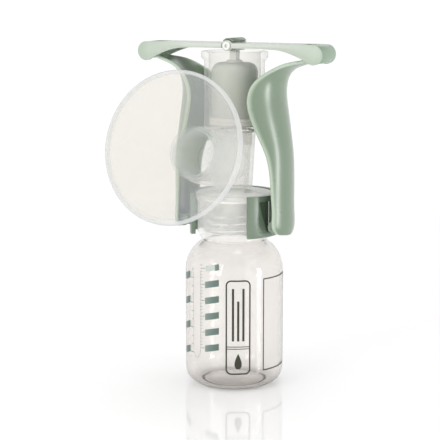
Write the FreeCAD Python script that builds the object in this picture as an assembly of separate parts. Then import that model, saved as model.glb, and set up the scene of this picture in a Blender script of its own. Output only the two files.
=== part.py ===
"""Two-handle manual breast pump: bottle, pump body, barrel with piston, squeeze handles and link arms.

Millimetres, +Z up. The bottle stands on z = 0 with its axis on Z. The breast flange faces -Y and tilts up.
Squeezing the handles together folds the link arms and lifts the piston inside the barrel.
"""
import FreeCAD
import Part

import os
from math import cos, hypot, radians, sin, sqrt, tan

from FreeCAD import Vector

os.makedirs("parts", exist_ok=True)

# bottle
BOTTLE_RADIUS = 27.5
BOTTLE_WALL = 1.4
BOTTLE_STRAIGHT_TOP = 64.7
BOTTLE_FOOT_ROUND = 9.0
SHOULDER_ROUND = 20.0
NECK_RADIUS = 16.6
NECK_HEIGHT = 21.9
THREAD_DEPTH = 1.0
GASKET_THICKNESS = 1.2

# pump body: collar, roof disc, upright tube and the side socket for the flange
COLLAR_WALL = 3.0
ROOF_OVERHANG = 0.6
ROOF_THICKNESS = 3.4
SOCKET_TUCK = 1.5
TUBE_FOOT_RADIUS = 9.9
TUBE_TOP_RADIUS = 11.8
TUBE_WALL = 2.0
DRAIN_RADIUS = 5.0
SOCKET_WALL = 2.15
SOCKET_LENGTH = 38.0
SOCKET_ABOVE_ROOF = 0.3

# breast flange
FLANGE_TILT = 13.1
FLANGE_RIM_RADIUS = 40.4
FLANGE_RIM_REACH = 70.9
FLANGE_THROAT_REACH = 47.3
FLANGE_BORE = 11.4
FLANGE_WALL = 1.9

# barrel and piston
BARREL_RADIUS = 16.8
BARREL_WALL = 2.4
BARREL_HEIGHT = 43.7
BARREL_FLOOR = 2.0
LIP_OVERHANG = 1.8
PISTON_SIDE_GAP = 1.6
PISTON_BELOW_LIP = 6.3
PISTON_CROWN_ROUND = 5.0
PISTON_WALL = 1.8

# link arms and their hinge over the barrel
HINGE_ABOVE_BARREL = 3.1
HINGE_RADIUS = 3.0
HINGE_PIN_RADIUS = 1.5
CAP_THICKNESS = 0.9
CAP_ANGLE = 52.0
CAP_SHORTER = 1.6
ARM_HALF_WIDTH = 9.3
ARM_DROP = 3.9
ARM_ROOT_DROP = 1.3
ARM_END_WALL = 1.45
ARM_SKIN = 1.6
ARM_CHEEK = 1.8
SLOT_HALF_WIDTH = 5.8
SLOT_LENGTH = 8.0
SLOT_FROM_PIN = 0.5

# handles and the clip band that carries them
HANDLE_SHELL = 1.8
BASE_PIN_RADIUS = 1.9
BAND_THICKNESS = 2.4
BAND_OPEN_ANGLE = 90.0
LINK_PIN_RADIUS = 1.2
LINK_EYE_RADIUS = 2.0

# named clearances
RUNNING_CLEARANCE = 0.08
PUSH_CLEARANCE = 0.05
THREAD_CLEARANCE = 0.4
SIDE_CLEARANCE = 0.3
LOOP_CLEARANCE = 1.85

# levels and reaches that follow from the sizes above
NECK_BASE = BOTTLE_STRAIGHT_TOP + sqrt(
    SHOULDER_ROUND**2 - (NECK_RADIUS - BOTTLE_RADIUS + SHOULDER_ROUND) ** 2
)
NECK_TOP = NECK_BASE + NECK_HEIGHT
COLLAR_BORE = NECK_RADIUS + THREAD_DEPTH + THREAD_CLEARANCE
COLLAR_RADIUS = COLLAR_BORE + COLLAR_WALL
ROOF_BOTTOM = NECK_TOP + GASKET_THICKNESS
ROOF_TOP = ROOF_BOTTOM + ROOF_THICKNESS
COLLAR_BOTTOM = NECK_BASE + 0.9
SOCKET_BORE = FLANGE_BORE + FLANGE_WALL + PUSH_CLEARANCE
SOCKET_RADIUS = SOCKET_BORE + SOCKET_WALL
SOCKET_FLARE = BARREL_RADIUS + 7.2
SOCKET_HEIGHT = SOCKET_RADIUS + SOCKET_ABOVE_ROOF
SOCKET_RISE = BARREL_RADIUS * tan(radians(FLANGE_TILT))
TUBE_TOP = ROOF_TOP + SOCKET_HEIGHT + SOCKET_RADIUS + SOCKET_RISE - SOCKET_TUCK
BARREL_GASKET = 0.8
BARREL_BASE = TUBE_TOP + BARREL_GASKET
BARREL_TOP = BARREL_BASE + BARREL_HEIGHT
BORE_RADIUS = BARREL_RADIUS - BARREL_WALL
PISTON_RADIUS = BORE_RADIUS - PISTON_SIDE_GAP
PISTON_BASE = BARREL_BASE + BARREL_FLOOR + 0.4
PISTON_TOP = BARREL_TOP - PISTON_BELOW_LIP
HINGE_LEVEL = BARREL_TOP + HINGE_ABOVE_BARREL
ARM_REACH = BARREL_RADIUS + 34.7
ARM_END_RADIUS = LINK_EYE_RADIUS + LOOP_CLEARANCE + ARM_END_WALL
ARM_END_LEVEL = HINGE_LEVEL - ARM_DROP
ARM_TOP_LEVEL = ARM_END_LEVEL + ARM_END_RADIUS
BAND_INNER = COLLAR_RADIUS + 1.6
BAND_OUTER = BAND_INNER + BAND_THICKNESS
BASE_PIN_X = BAND_OUTER + 3.5
BASE_PIN_LEVEL = COLLAR_BOTTOM + 8.6
WAIST_X = BARREL_RADIUS + 13.0
HANDLE_LENGTH = ARM_END_LEVEL - BASE_PIN_LEVEL
SIDES = {"right": 1, "left": -1}

# handle stations: shares of the base pin, waist and arm end positions, extra x,
# height as a share of the handle length, half width, depth of the hollow
HANDLE_STATIONS = [
    (1.0, 0.0, 0.0, 6.10, -0.050, 10.8, 3.6),
    (1.0, 0.0, 0.0, 6.70, -0.015, 12.7, 4.7),
    (1.0, 0.0, 0.0, 6.75, 0.074, 13.0, 5.0),
    (1.0, 0.0, 0.0, 6.60, 0.170, 13.2, 5.3),
    (0.8, 0.2, 0.0, 6.24, 0.328, 14.0, 6.2),
    (0.6, 0.4, 0.0, 5.28, 0.447, 15.2, 7.8),
    (0.4, 0.6, 0.0, 3.80, 0.535, 16.9, 9.6),
    (0.2, 0.8, 0.0, 2.20, 0.620, 18.8, 11.1),
    (0.0, 1.0, 0.0, 0.65, 0.700, 20.0, 12.0),
    (0.0, 1.0, 0.0, 0.00, 0.773, 19.6, 11.6),
    (0.0, 1.0, 0.0, 0.60, 0.829, 17.5, 8.8),
    (0.0, 0.85, 0.15, -0.86, 0.875, 14.0, 4.6),
    (0.0, 0.7, 0.3, -0.70, 0.909, 11.8, 2.4),
    (0.0, 0.4, 0.6, -1.30, 0.934, 9.4, 1.4),
    (0.0, 0.2, 0.8, -2.16, 0.947, 7.4, 0.8),
    (0.0, 0.0, 1.0, -3.30, 0.965, 6.5, 0.4),
    (0.0, 0.0, 1.0, -0.60, 0.984, 6.5, 0.4),
]


def upright(a, b):
    """Point of an outline drawn in the XZ plane."""
    return Vector(a, 0, b)


def corner(before, here, after, radius):
    """Start, middle and end of the arc that rounds one corner of an outline."""
    to_before = (before - here).normalize()
    to_after = (after - here).normalize()
    half = to_before.getAngle(to_after) / 2
    back = radius / tan(half)
    inward = (to_before + to_after).normalize()
    middle = here + inward * (radius / sin(half) - radius)
    return here + to_before * back, middle, here + to_after * back


def outline(points):
    """Closed face in the XZ plane from (x, z, corner radius) points."""
    spots = [upright(a, b) for a, b, _ in points]
    corners = []
    for i, (_, _, radius) in enumerate(points):
        here = spots[i]
        if radius:
            corners.append(corner(spots[i - 1], here, spots[(i + 1) % len(spots)], radius))
        else:
            corners.append((here, None, here))
    edges = []
    for i, (start, middle, end) in enumerate(corners):
        if middle:
            edges.append(Part.Arc(start, middle, end).toShape())
        following = corners[(i + 1) % len(corners)][0]
        if end.distanceToPoint(following) > 1e-6:
            edges.append(Part.makeLine(end, following))
    return Part.Face(Part.Wire(edges))


def turned(points):
    """Solid turned about Z from (radius, z, corner radius) points."""
    return outline(points).revolve(Vector(0, 0, 0), Vector(0, 0, 1), 360)


def slab(face, y0, y1):
    """Face in the XZ plane stretched from y0 to y1."""
    flat = face.copy()
    flat.translate(Vector(0, y0, 0))
    return flat.extrude(Vector(0, y1 - y0, 0))


def block(x0, x1, y0, y1, z0, z1):
    """Box between two corners."""
    return Part.makeBox(x1 - x0, y1 - y0, z1 - z0, Vector(x0, y0, z0))


def rod_y(x, z, radius, y0, y1):
    """Round rod along Y."""
    return Part.makeCylinder(radius, y1 - y0, Vector(x, y0, z), Vector(0, 1, 0))


def rod_z(radius, z0, z1):
    """Round rod along Z on the main axis."""
    return Part.makeCylinder(radius, z1 - z0, Vector(0, 0, z0))


def other_side(shape):
    """Mirror copy in the YZ plane."""
    return shape.mirror(Vector(0, 0, 0), Vector(1, 0, 0))


def on_flange_axis(shape):
    """Move a shape turned about Z on to the tilted flange axis."""
    shape.rotate(Vector(0, 0, 0), Vector(1, 0, 0), 90 - FLANGE_TILT)
    shape.translate(Vector(0, 0, ROOF_TOP + SOCKET_HEIGHT))
    return shape


def one_solid(shape):
    """The single solid inside a boolean result, with split faces joined up."""
    clean = shape.removeSplitter()
    return max(clean.Solids, key=lambda solid: solid.Volume)


def save(name, shape):
    """Write one piece to its STEP file."""
    solid = one_solid(shape)
    if not solid.isValid():
        print("invalid", name)
    solid.exportStep("parts/" + name + ".step")


def bottle_wall_face(inset, floor):
    """Outline of the bottle drawn in by an inset, with its lowest level at floor."""
    radius = BOTTLE_RADIUS - inset
    foot = BOTTLE_FOOT_ROUND - inset
    shoulder = SHOULDER_ROUND - inset
    neck = NECK_RADIUS - inset
    middle = BOTTLE_RADIUS - SHOULDER_ROUND
    top = BOTTLE_STRAIGHT_TOP + sqrt(shoulder**2 - (neck - middle) ** 2)
    slant = radians(35)
    points = [upright(0, floor), upright(radius - foot, floor)]
    edges = [Part.makeLine(points[0], points[1])]
    belly = upright(radius - foot * (1 - sin(slant)), floor + foot * (1 - cos(slant)))
    edges.append(Part.Arc(points[1], belly, upright(radius, floor + foot)).toShape())
    edges.append(Part.makeLine(upright(radius, floor + foot), upright(radius, BOTTLE_STRAIGHT_TOP)))
    bend = upright(middle + shoulder * cos(slant), BOTTLE_STRAIGHT_TOP + shoulder * sin(slant))
    edges.append(Part.Arc(upright(radius, BOTTLE_STRAIGHT_TOP), bend, upright(neck, top)).toShape())
    edges.append(Part.makeLine(upright(neck, top), upright(neck, NECK_TOP)))
    edges.append(Part.makeLine(upright(neck, NECK_TOP), upright(0, NECK_TOP)))
    edges.append(Part.makeLine(upright(0, NECK_TOP), upright(0, floor)))
    return Part.Face(Part.Wire(edges))


def bottle():
    """Blown bottle with a thread land on the neck."""
    axis = Vector(0, 0, 1)
    outside = bottle_wall_face(0, 0).revolve(Vector(0, 0, 0), axis, 360)
    inside = bottle_wall_face(BOTTLE_WALL, BOTTLE_WALL).revolve(Vector(0, 0, 0), axis, 360)
    crest = NECK_RADIUS + THREAD_DEPTH
    inner = NECK_RADIUS - BOTTLE_WALL / 2
    shape = outside
    for level in (6.4, 10.4, 14.4):
        z = NECK_BASE + level
        ring = [(inner, z - 1.3, 0), (crest, z - 0.5, 0), (crest, z + 0.5, 0), (inner, z + 1.3, 0)]
        shape = shape.fuse(turned(ring))
    return shape.cut(inside)


def bottle_gasket():
    """Flat sealing ring between the bottle mouth and the roof of the collar."""
    ring = rod_z(NECK_RADIUS + 0.4, NECK_TOP, ROOF_BOTTOM)
    return ring.cut(rod_z(NECK_RADIUS - BOTTLE_WALL - 1.2, NECK_TOP - 1, ROOF_BOTTOM + 1))


def pump_body():
    """Collar, roof disc, upright tube, drain spout and side socket in one moulding."""
    tube_bore = TUBE_TOP_RADIUS - TUBE_WALL
    wide_bore = TUBE_TOP - 7.2
    spout = ROOF_BOTTOM - 9.6
    roof = COLLAR_RADIUS + ROOF_OVERHANG
    outside = turned([
        (0, COLLAR_BOTTOM, 0), (COLLAR_RADIUS - 1.8, COLLAR_BOTTOM, 0),
        (COLLAR_RADIUS, COLLAR_BOTTOM + 4.2, 0), (COLLAR_RADIUS, ROOF_TOP - 4, 0),
        (roof, ROOF_TOP - 3.4, 0), (roof, ROOF_TOP, 1.6),
        (TUBE_FOOT_RADIUS, ROOF_TOP, 2.0), (TUBE_TOP_RADIUS, TUBE_TOP, 0), (0, TUBE_TOP, 0),
    ])
    skirt_hollow = rod_z(COLLAR_BORE, COLLAR_BOTTOM - 1, ROOF_BOTTOM)
    skirt_hollow = skirt_hollow.cut(rod_z(DRAIN_RADIUS, spout, ROOF_BOTTOM))
    passage = turned([
        (0, COLLAR_BOTTOM, 0), (DRAIN_RADIUS - 1.5, COLLAR_BOTTOM, 0), (DRAIN_RADIUS - 1.5, ROOF_TOP - 2, 0),
        (TUBE_FOOT_RADIUS - TUBE_WALL, ROOF_TOP + 3, 0), (tube_bore - 0.6, wide_bore, 0),
        (tube_bore, wide_bore, 0), (tube_bore, TUBE_TOP + 1, 0), (0, TUBE_TOP + 1, 0),
    ])
    socket = on_flange_axis(turned([
        (0, 0, 0), (TUBE_FOOT_RADIUS, 0, 0), (SOCKET_RADIUS, SOCKET_FLARE, 4),
        (SOCKET_RADIUS, SOCKET_LENGTH, 0.8), (0, SOCKET_LENGTH, 0),
    ]))
    socket_bore = on_flange_axis(turned([
        (0, 0, 0), (FLANGE_BORE - 4, 0, 0), (FLANGE_BORE, 12, 0), (FLANGE_BORE, 22, 0), (SOCKET_BORE, 22, 0),
        (SOCKET_BORE, SOCKET_LENGTH + 1, 0), (0, SOCKET_LENGTH + 1, 0),
    ]))
    return outside.fuse(socket).cut(skirt_hollow).cut(passage).cut(socket_bore)


def duckbill_valve():
    """Soft one-way valve on the drain spout, closing to a narrow slit."""
    outer = DRAIN_RADIUS + 1.4
    inner = DRAIN_RADIUS + PUSH_CLEARANCE
    top = ROOF_BOTTOM - 2.0
    bend = ROOF_BOTTOM - 11.5
    tip = ROOF_BOTTOM - 21.0
    shape = rod_z(outer, tip, top).common(duckbill_wedge(outer, 0.9, tip, bend, top))
    inner_wedge = duckbill_wedge(inner, 0.35, tip - 0.5, bend + 0.6, top + 1)
    return shape.cut(rod_z(inner, tip - 1, top + 1).common(inner_wedge))


def duckbill_wedge(wide, narrow, tip, bend, top):
    """Wedge shape that narrows towards the tip of the valve."""
    points = [(-wide, top), (wide, top), (wide, bend), (narrow, tip), (-narrow, tip), (-wide, bend)]
    return slab(outline([(a, b, 0) for a, b in points]), -wide - 1, wide + 1)


def breast_flange():
    """Funnel with a rolled rim and a neck that pushes into the side socket."""
    neck = FLANGE_BORE + FLANGE_WALL
    start = 22.2
    slope = hypot(FLANGE_RIM_REACH - FLANGE_THROAT_REACH, FLANGE_RIM_RADIUS - neck)
    behind = FLANGE_WALL * slope / (FLANGE_RIM_RADIUS - neck)
    rim = FLANGE_RIM_RADIUS - 2.0
    shape = turned([
        (FLANGE_BORE, start, 0), (neck, start, 0.5), (neck, FLANGE_THROAT_REACH, 6),
        (rim, FLANGE_RIM_REACH - 1.5, 0), (FLANGE_RIM_RADIUS, FLANGE_RIM_REACH - 1.5, 1.2),
        (FLANGE_RIM_RADIUS, FLANGE_RIM_REACH + 1.3, 1.2), (rim - 0.6, FLANGE_RIM_REACH + 1.3, 1.2),
        (rim - 1.4, FLANGE_RIM_REACH - 0.4, 0), (FLANGE_BORE, FLANGE_THROAT_REACH + behind - 2.0, 7),
    ])
    return on_flange_axis(shape)


def barrel():
    """Clear barrel with a spigot below and a lip on top."""
    spigot = TUBE_TOP_RADIUS - TUBE_WALL - RUNNING_CLEARANCE
    lip = BARREL_RADIUS + LIP_OVERHANG
    outside = turned([
        (0, TUBE_TOP - 6.8, 0), (spigot, TUBE_TOP - 6.8, 0.8), (spigot, BARREL_BASE, 0),
        (BARREL_RADIUS, BARREL_BASE, 2.0), (BARREL_RADIUS, BARREL_TOP - 5.6, 0), (lip, BARREL_TOP - 3.4, 0),
        (lip, BARREL_TOP, 0.7), (0, BARREL_TOP, 0),
    ])
    bore = turned([
        (0, BARREL_BASE + BARREL_FLOOR, 0), (BORE_RADIUS, BARREL_BASE + BARREL_FLOOR, 0),
        (BORE_RADIUS, BARREL_TOP - 1.2, 0), (BORE_RADIUS + 1.2, BARREL_TOP, 0), (0, BARREL_TOP, 0),
    ])
    return outside.cut(bore).cut(rod_z(spigot - 3.0, TUBE_TOP - 8, BARREL_BASE + BARREL_FLOOR + 1))


def barrel_gasket():
    """Soft ring between the upright tube and the barrel floor."""
    return rod_z(TUBE_TOP_RADIUS, TUBE_TOP, BARREL_BASE).cut(
        rod_z(TUBE_TOP_RADIUS - TUBE_WALL, TUBE_TOP - 1, BARREL_BASE + 1)
    )


def clip_band():
    """Open band around the collar with an ear on each side for the handle pins."""
    low = COLLAR_BOTTOM + 2.6
    high = ROOF_TOP
    full = rod_z(BAND_OUTER, low, high).cut(rod_z(BAND_INNER, low - 1, high + 1))
    far = 2 * BAND_OUTER
    half = radians(BAND_OPEN_ANGLE / 2)
    mouth = Part.makePolygon([
        Vector(0, 0, low - 1), Vector(-far * sin(half), -far * cos(half), low - 1),
        Vector(0, -3 * far, low - 1), Vector(far * sin(half), -far * cos(half), low - 1),
        Vector(0, 0, low - 1),
    ])
    shape = full.cut(Part.Face(mouth).extrude(Vector(0, 0, high - low + 2)))
    for middle in (-17, 17, 163, 197):
        shape = shape.cut(band_window(middle, low + 3, high - 3))
    for angle in (-38, 38, 90, 142, 218):
        rib = block(COLLAR_RADIUS, BAND_INNER + 0.5, -1, 1, COLLAR_BOTTOM + 5, ROOF_TOP - 4.5)
        rib.rotate(Vector(0, 0, 0), Vector(0, 0, 1), angle)
        shape = shape.fuse(rib)
    for side in SIDES.values():
        shape = shape.fuse(ear(side))
    shape = shape.cut(rod_z(COLLAR_RADIUS, low - 1, high + 1))
    for side in SIDES.values():
        shape = shape.cut(rod_y(side * BASE_PIN_X, BASE_PIN_LEVEL, BASE_PIN_RADIUS, -9, 9))
    return shape


def band_window(middle, z0, z1):
    """Block that opens a window in the band, 26 degrees wide about a middle angle."""
    far = 2 * BAND_OUTER
    half = far * tan(radians(13))
    corners = [(0, 0), (far, -half), (far, half), (0, 0)]
    floor = Part.Face(Part.makePolygon([Vector(x, y, z0) for x, y in corners]))
    shape = floor.extrude(Vector(0, 0, z1 - z0))
    shape.rotate(Vector(0, 0, 0), Vector(0, 0, 1), middle)
    return shape


def ear(side):
    """Lug that holds one handle pin."""
    inner = BAND_INNER + 0.8
    shape = rod_y(BASE_PIN_X, BASE_PIN_LEVEL, 3.4, -3, 3)
    web = outline([
        (inner, BASE_PIN_LEVEL - 3.4, 0), (BASE_PIN_X, BASE_PIN_LEVEL - 3.4, 0),
        (BASE_PIN_X, BASE_PIN_LEVEL + 3.4, 0), (inner, BASE_PIN_LEVEL + 8.5, 0),
    ])
    shape = shape.fuse(slab(web, -3, 3))
    return shape if side > 0 else other_side(shape)


def base_pin(side):
    """Pin that one handle swings on."""
    return rod_y(side * BASE_PIN_X, BASE_PIN_LEVEL, BASE_PIN_RADIUS, -9.0, 9.0)


def return_spring(side):
    """Coil on the base pin between the ear and the handle boss."""
    wire = 0.35
    radius = BASE_PIN_RADIUS + 0.4 + wire
    helix = Part.makeHelix(0.85, 2.2, radius)
    ring = Part.Wire(Part.makeCircle(wire, Vector(radius, 0, 0), Vector(0, 1, 0)))
    coil = Part.Wire(helix).makePipeShell([ring], True, True)
    coil.rotate(Vector(0, 0, 0), Vector(1, 0, 0), 90)
    coil.translate(Vector(side * BASE_PIN_X, -3.6, BASE_PIN_LEVEL))
    return coil


def piston():
    """Hollow piston with a rounded crown and a groove for its seal."""
    groove = PISTON_BASE + 1.0
    inner = PISTON_RADIUS - PISTON_WALL
    outside = turned([
        (0, PISTON_BASE, 0), (PISTON_RADIUS, PISTON_BASE, 0),
        (PISTON_RADIUS, PISTON_TOP, PISTON_CROWN_ROUND), (0, PISTON_TOP, 0),
    ])
    seat = turned([
        (PISTON_RADIUS - 1, groove, 0), (BORE_RADIUS, groove, 0), (BORE_RADIUS, groove + 3.8, 0),
        (PISTON_RADIUS - 1, groove + 3.8, 0),
    ])
    hollow = turned([
        (0, PISTON_BASE - 1, 0), (inner - 0.6, PISTON_BASE - 1, 0), (inner - 0.6, groove + 5, 0),
        (inner, groove + 6, 0), (inner, PISTON_TOP - PISTON_WALL, PISTON_CROWN_ROUND - PISTON_WALL),
        (0, PISTON_TOP - PISTON_WALL, 0),
    ])
    return outside.cut(seat).cut(hollow)


def piston_seal():
    """Soft ring that wipes the barrel wall."""
    groove = PISTON_BASE + 1.0
    lip = BORE_RADIUS - RUNNING_CLEARANCE
    root = PISTON_RADIUS - 1
    return turned([
        (root, groove, 0), (lip - 0.5, groove, 0), (lip, groove + 0.5, 0), (lip, groove + 1.1, 0),
        (lip - 0.7, groove + 1.9, 0), (lip, groove + 2.7, 0), (lip, groove + 3.3, 0),
        (lip - 0.5, groove + 3.8, 0), (root, groove + 3.8, 0),
    ])


def piston_rod():
    """Short bar from the crown to the middle of the hinge."""
    half_width = 2.3
    shape = rod_y(0, HINGE_LEVEL, HINGE_RADIUS, -half_width, half_width)
    shape = shape.fuse(block(-2, 2, -half_width, half_width, PISTON_TOP, HINGE_LEVEL))
    step = PISTON_TOP + 1.4
    foot = turned([(0, PISTON_TOP, 0), (5, PISTON_TOP, 0), (4, step, 0), (0, step, 0)])
    return shape.fuse(foot).cut(rod_y(0, HINGE_LEVEL, HINGE_PIN_RADIUS, -12, 12))


def centre_pin():
    """Pin through the arm knuckles and the rod eye, with a head at each end."""
    end = ARM_HALF_WIDTH + SIDE_CLEARANCE
    shape = rod_y(0, HINGE_LEVEL, HINGE_PIN_RADIUS, -end, end)
    for y0 in (-end - 0.7, end):
        shape = shape.fuse(rod_y(0, HINGE_LEVEL, 2.4, y0, y0 + 0.7))
    return shape


def hinge_cap():
    """Curved cover over the hinge knuckles, joined to the rod eye."""
    inner = HINGE_RADIUS + SIDE_CLEARANCE
    outer = inner + CAP_THICKNESS
    end = ARM_HALF_WIDTH - CAP_SHORTER
    ring = rod_y(0, HINGE_LEVEL, outer, -end, end).cut(rod_y(0, HINGE_LEVEL, inner, -20, 20))
    side = 2 * outer * sin(radians(CAP_ANGLE))
    height = HINGE_LEVEL + 2 * outer * cos(radians(CAP_ANGLE))
    keep = outline([(0, HINGE_LEVEL, 0), (side, height, 0), (-side, height, 0)])
    shape = ring.common(slab(keep, -end, end))
    bridge = block(-1.2, 1.2, -1.5, 1.5, HINGE_LEVEL + HINGE_RADIUS - 0.15, HINGE_LEVEL + outer - 0.2)
    return shape.fuse(bridge.cut(rod_y(0, HINGE_LEVEL, HINGE_RADIUS, -3, 3)))


def arm_side_face():
    """Side view of a link arm from beside the hinge to the round end."""
    x, z, r = ARM_REACH, ARM_END_LEVEL, ARM_END_RADIUS
    near = HINGE_RADIUS + 0.4
    low = HINGE_LEVEL - ARM_ROOT_DROP
    step = (x - near) / 10
    lift = low - (z - r)
    fall = [(0.385, 0.42), (0.80, 0.80), (1.86, 0.50), (2.9, 0.27), (3.9, 0.11), (5.6, 0.02), (6.6, 0.0)]
    join = upright(x - r * fall[0][0], z - r * sqrt(1 - fall[0][0] ** 2))
    under = [join] + [upright(x - step * a, low - lift * b) for a, b in fall[1:]]
    curve = Part.BSplineCurve()
    curve.interpolate(under)
    top = z + r
    edges = [Part.makeLine(upright(near, top), upright(x, top))]
    edges.append(Part.Arc(upright(x, top), upright(x + r, z), join).toShape())
    edges.append(curve.toShape())
    edges.append(Part.makeLine(under[-1], upright(near, low)))
    edges.append(Part.makeLine(upright(near, low), upright(near, top)))
    return Part.Face(Part.Wire(edges))


def arm_hollow():
    """Space under the skin of an arm, open below and around the link pin."""
    x, z = ARM_REACH, ARM_END_LEVEL
    inside = ARM_HALF_WIDTH - ARM_CHEEK
    open_side = radians(300)
    reach = 3 * ARM_END_RADIUS
    room = outline([
        (HINGE_RADIUS, ARM_TOP_LEVEL - ARM_SKIN, 0), (HINGE_RADIUS, z - reach, 0),
        (x, z - reach, 0), (x + reach * cos(open_side), z + reach * sin(open_side), 0),
        (x, z, 0), (x, ARM_TOP_LEVEL - ARM_SKIN, 0),
    ])
    pocket = LINK_EYE_RADIUS + LOOP_CLEARANCE
    return slab(room, -inside, inside).fuse(rod_y(x, z, pocket, -inside - 1.2, inside + 1.2))


def top_slot():
    """Wide window in the top of an arm near its end, with rounded corners."""
    x1 = ARM_REACH - SLOT_FROM_PIN
    half = SLOT_HALF_WIDTH
    shape = block(x1 - SLOT_LENGTH, x1, -half, half, ARM_END_LEVEL, ARM_TOP_LEVEL + 1)
    corners = [edge for edge in shape.Edges if abs(edge.tangentAt(edge.FirstParameter).z) > 0.9]
    return shape.makeFillet(1.2, corners)


def arm(side, knuckle_from, knuckle_to):
    """Link arm from the centre hinge to the top of one handle."""
    width = ARM_HALF_WIDTH
    shape = slab(arm_side_face(), -width, width).cut(arm_hollow()).cut(top_slot())
    for y0, y1 in ((knuckle_from, knuckle_to), (-knuckle_to, -knuckle_from)):
        shape = shape.fuse(rod_y(0, HINGE_LEVEL, HINGE_RADIUS, y0, y1))
        shape = shape.fuse(block(0, 9, y0, y1, HINGE_LEVEL - ARM_ROOT_DROP, ARM_TOP_LEVEL))
    shape = shape.cut(rod_y(0, HINGE_LEVEL, HINGE_PIN_RADIUS + RUNNING_CLEARANCE, -12, 12))
    return shape if side > 0 else other_side(shape)


def station_point(row):
    """Outer centre line point of one handle station."""
    base, waist, tip, extra, height = row[:5]
    x = base * BASE_PIN_X + waist * WAIST_X + tip * ARM_REACH + extra
    return upright(x, BASE_PIN_LEVEL + height * HANDLE_LENGTH)


def handle_section(here, along, half_width, depth):
    """Closed crescent across the handle: outer arc, rim, inner arc, rim."""
    outward = Vector(along.z, 0, -along.x)
    radius = (half_width**2 + depth**2) / (2 * depth)
    turn = half_width / radius

    def spot(distance, share):
        y = distance * turn * share
        back = radius - distance * sqrt(1 - (turn * share) ** 2)
        return here - outward * back + Vector(0, y, 0)

    inner = radius - HANDLE_SHELL
    edges = [
        Part.Arc(spot(radius, -1), spot(radius, 0), spot(radius, 1)).toShape(),
        Part.makeLine(spot(radius, 1), spot(inner, 1)),
        Part.Arc(spot(inner, 1), spot(inner, 0), spot(inner, -1)).toShape(),
        Part.makeLine(spot(inner, -1), spot(radius, -1)),
    ]
    return Part.Wire(edges)


def handle(side):
    """Curved grip shell from the base pin up to the link pin."""
    spots = [station_point(row) for row in HANDLE_STATIONS]
    last = len(spots) - 1
    sections = []
    for i, row in enumerate(HANDLE_STATIONS):
        along = (spots[min(i + 1, last)] - spots[max(i - 1, 0)]).normalize()
        sections.append(handle_section(spots[i], along, row[5], row[6]))
    shape = Part.makeLoft(sections, True, False)
    for y0 in (6.5, -8.5):
        shape = shape.fuse(rod_y(BASE_PIN_X, BASE_PIN_LEVEL, 3.5, y0, y0 + 2))
        low = BASE_PIN_LEVEL - 3.5
        shape = shape.fuse(block(BASE_PIN_X, BASE_PIN_X + 4.0, y0, y0 + 2, low, low + 7.0))
    shape = shape.fuse(rod_y(ARM_REACH, ARM_END_LEVEL, LINK_EYE_RADIUS, -6.5, 6.5))
    shape = shape.cut(rod_y(ARM_REACH, ARM_END_LEVEL, LINK_PIN_RADIUS, -12, 12))
    shape = shape.cut(rod_y(BASE_PIN_X, BASE_PIN_LEVEL, BASE_PIN_RADIUS + RUNNING_CLEARANCE, -12, 12))
    return shape if side > 0 else other_side(shape)


def link_pin(side):
    """Cross bar that joins a handle to its arm inside the hollow arm end."""
    end = ARM_HALF_WIDTH - ARM_CHEEK + 0.9
    return rod_y(side * ARM_REACH, ARM_END_LEVEL, LINK_PIN_RADIUS, -end, end)


KNUCKLES = {"right": (6.0, ARM_HALF_WIDTH), "left": (2.3 + SIDE_CLEARANCE, 5.7)}

save("bottle", bottle())
save("bottle_gasket", bottle_gasket())
save("pump_body", pump_body())
save("duckbill_valve", duckbill_valve())
save("breast_flange", breast_flange())
save("barrel", barrel())
save("barrel_gasket", barrel_gasket())
save("clip_band", clip_band())
save("piston", piston())
save("piston_seal", piston_seal())
save("piston_rod", piston_rod())
save("centre_pin", centre_pin())
save("hinge_cap", hinge_cap())
for name, direction in SIDES.items():
    save("base_pin_" + name, base_pin(direction))
    save("return_spring_" + name, return_spring(direction))
    save("arm_" + name, arm(direction, *KNUCKLES[name]))
    save("handle_" + name, handle(direction))
    save("link_pin_" + name, link_pin(direction))
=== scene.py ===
"""Looks for a two-handle manual breast pump: clear bottle, body, barrel and funnel, sage handles and arms.

Camera and lights are in metres, pieces in millimetres. Every CAD piece keeps its place; pieces made here are
surfaces worked out with numpy.
"""

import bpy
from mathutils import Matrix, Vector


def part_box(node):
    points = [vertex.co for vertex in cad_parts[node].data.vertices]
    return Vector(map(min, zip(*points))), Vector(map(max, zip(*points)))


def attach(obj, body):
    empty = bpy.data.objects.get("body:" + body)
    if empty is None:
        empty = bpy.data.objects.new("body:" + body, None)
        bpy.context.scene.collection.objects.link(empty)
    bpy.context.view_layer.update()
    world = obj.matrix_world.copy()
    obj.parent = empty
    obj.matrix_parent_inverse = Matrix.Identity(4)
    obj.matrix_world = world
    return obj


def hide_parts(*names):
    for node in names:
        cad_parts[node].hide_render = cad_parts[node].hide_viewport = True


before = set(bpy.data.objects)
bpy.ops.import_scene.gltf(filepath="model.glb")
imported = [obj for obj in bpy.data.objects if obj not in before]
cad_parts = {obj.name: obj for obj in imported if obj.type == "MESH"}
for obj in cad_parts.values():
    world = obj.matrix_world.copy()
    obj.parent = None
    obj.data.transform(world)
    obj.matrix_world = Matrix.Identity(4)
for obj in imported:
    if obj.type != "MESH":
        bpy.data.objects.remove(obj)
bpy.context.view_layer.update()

import math

import bmesh
import bpy
import numpy as np
from mathutils import Vector

MM = 0.001
TAU = 2 * math.pi

# ---------------------------------------------------------------- places read from the frame


def low(node):
    """Lowest corner of a CAD node, in millimetres."""
    return np.array(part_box(node)[0]) / MM


def high(node):
    """Highest corner of a CAD node, in millimetres."""
    return np.array(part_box(node)[1]) / MM


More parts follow.
